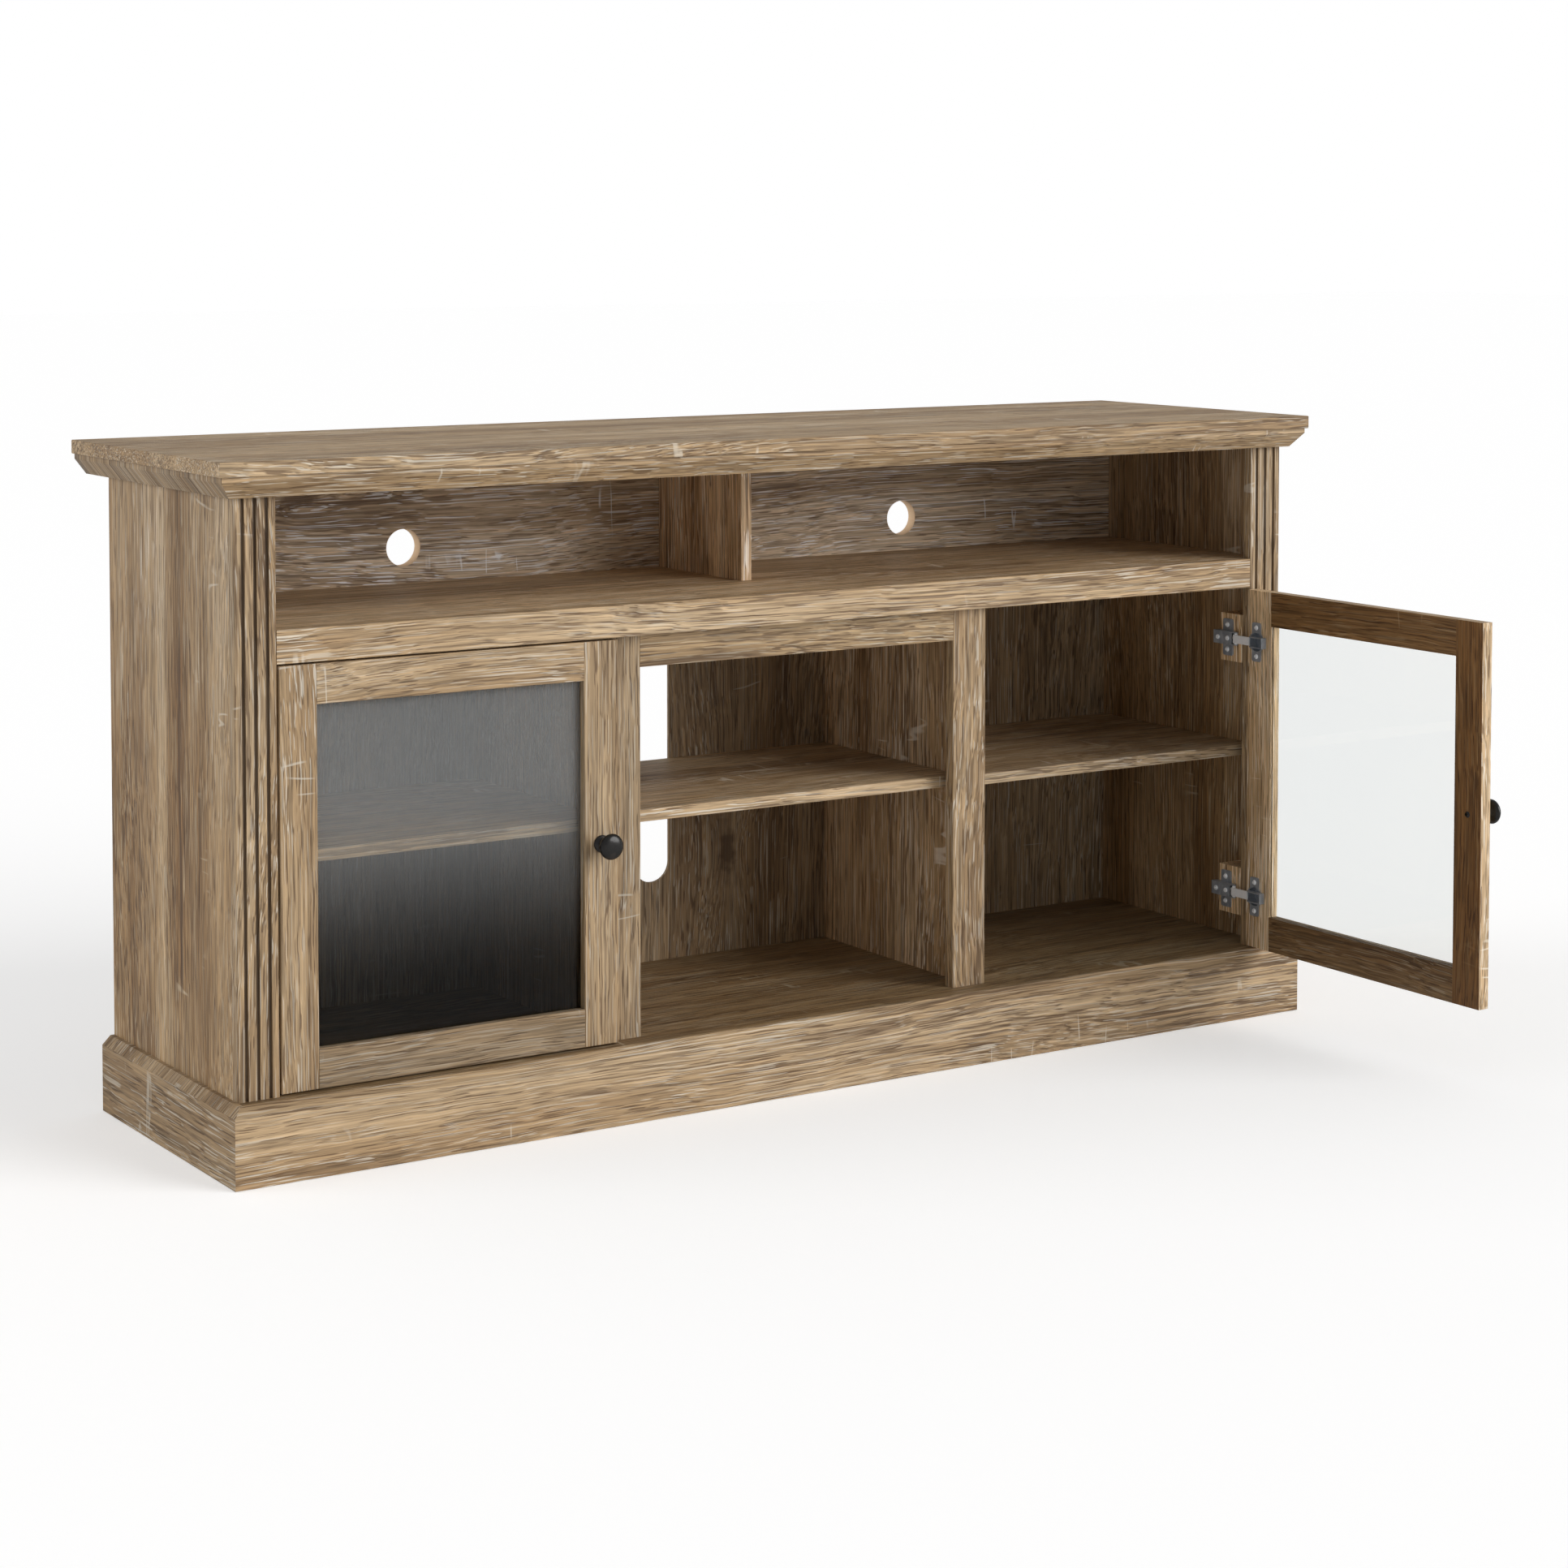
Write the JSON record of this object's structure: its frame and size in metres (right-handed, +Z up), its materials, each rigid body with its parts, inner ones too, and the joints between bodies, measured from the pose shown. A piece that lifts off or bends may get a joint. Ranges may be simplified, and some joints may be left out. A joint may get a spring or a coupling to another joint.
{
  "type": "media_cabinet",
  "caption": "Low limed-oak media cabinet with an overhanging top, an open upper compartment, an open centre bay and two glazed doors on a chamfered plinth",
  "frame": {"origin": "On the floor at the middle of the plinth's footprint, which is where the centre brace stands on the floor", "axes": "+X is the cabinet's right seen from in front, +Y goes to the back, +Z is up; the doors face -Y"},
  "size_m": [1.514, 0.8229, 0.776],
  "materials": {
    "limed_oak": "satin",
    "raw_pine": "matte",
    "door_glass": "polished",
    "knob_black": "satin",
    "hinge_steel": "satin",
    "link_steel": "satin",
    "screw_steel": "polished"
  },
  "bodies": {
    "cabinet": {"arm_screws_left": "screw_steel", "arm_screws_right": "screw_steel", "back_screws": "screw_steel", "bottom_panel": "limed_oak", "cornice_front": "limed_oak", "cornice_left": "limed_oak", "cornice_right": "limed_oak", "deck_rail": "limed_oak", "deck_shelf": "limed_oak", "frame_stile_left": "limed_oak", "frame_stile_right": "limed_oak", "frame_top_rail": "limed_oak", "hinge_arms_left": "hinge_steel", "hinge_arms_right": "hinge_steel", "hinge_blocks_left": "limed_oak", "hinge_blocks_right": "limed_oak", "hinge_plates_left": "hinge_steel", "hinge_plates_right": "hinge_steel", "lower_back_panel": "limed_oak", "partition_left": "limed_oak", "partition_right": "limed_oak", "pilaster_left": "limed_oak", "pilaster_right": "limed_oak", "plate_screws_left": "screw_steel", "plate_screws_right": "screw_steel", "plinth_back_rail": "raw_pine", "plinth_centre_brace": "raw_pine", "plinth_corner_blocks": "raw_pine", "plinth_front": "limed_oak", "plinth_left": "limed_oak", "plinth_right": "limed_oak", "shelf_centre": "limed_oak", "shelf_left": "limed_oak", "shelf_right": "limed_oak", "side_panel_left": "limed_oak", "side_panel_right": "limed_oak", "top_slab": "limed_oak", "upper_back_panel": "limed_oak", "upper_divider": "limed_oak"},
    "door_left": {"door_hinge_stile_left": "limed_oak", "door_free_stile_left": "limed_oak", "door_bottom_rail_left": "limed_oak", "door_top_rail_left": "limed_oak", "door_glass_left": "door_glass", "knob_left": "knob_black", "knob_screw_left": "screw_steel", "hinge_cups_left": "hinge_steel", "cup_screws_left": "screw_steel"},
    "hinge_links_left": {"hinge_links_left": "link_steel"},
    "door_right": {"door_hinge_stile_right": "limed_oak", "door_free_stile_right": "limed_oak", "door_bottom_rail_right": "limed_oak", "door_top_rail_right": "limed_oak", "door_glass_right": "door_glass", "knob_right": "knob_black", "knob_screw_right": "screw_steel", "hinge_cups_right": "hinge_steel", "cup_screws_right": "screw_steel"},
    "hinge_links_right": {"hinge_links_right": "link_steel"}
  },
  "joints": [
    {"name": "door_left_hinge", "type": "hinge", "parent": "cabinet", "child": "door_left", "pos_m": [-0.688, -0.1583, 0.3209], "axis": [0, 0, -1], "range_deg": [0, 93]},
    {"name": "door_right_hinge", "type": "hinge", "parent": "cabinet", "child": "door_right", "pos_m": [0.688, -0.1583, 0.3209], "axis": [0, 0, 1], "range_deg": [-90, 3]},
    {"name": "links_left_pin", "type": "hinge", "parent": "cabinet", "child": "hinge_links_left", "pos_m": [-0.677, -0.1437, 0.3209], "axis": [0, 0, -1], "range_deg": [0, 93]},
    {"name": "links_right_pin", "type": "hinge", "parent": "cabinet", "child": "hinge_links_right", "pos_m": [0.677, -0.1437, 0.3209], "axis": [0, 0, 1], "range_deg": [-90, 3]}
  ],
  "couplings": [
    {"joint": "links_left_pin", "follows": "door_left_hinge", "ratio": 1},
    {"joint": "links_right_pin", "follows": "door_right_hinge", "ratio": 1}
  ]
}
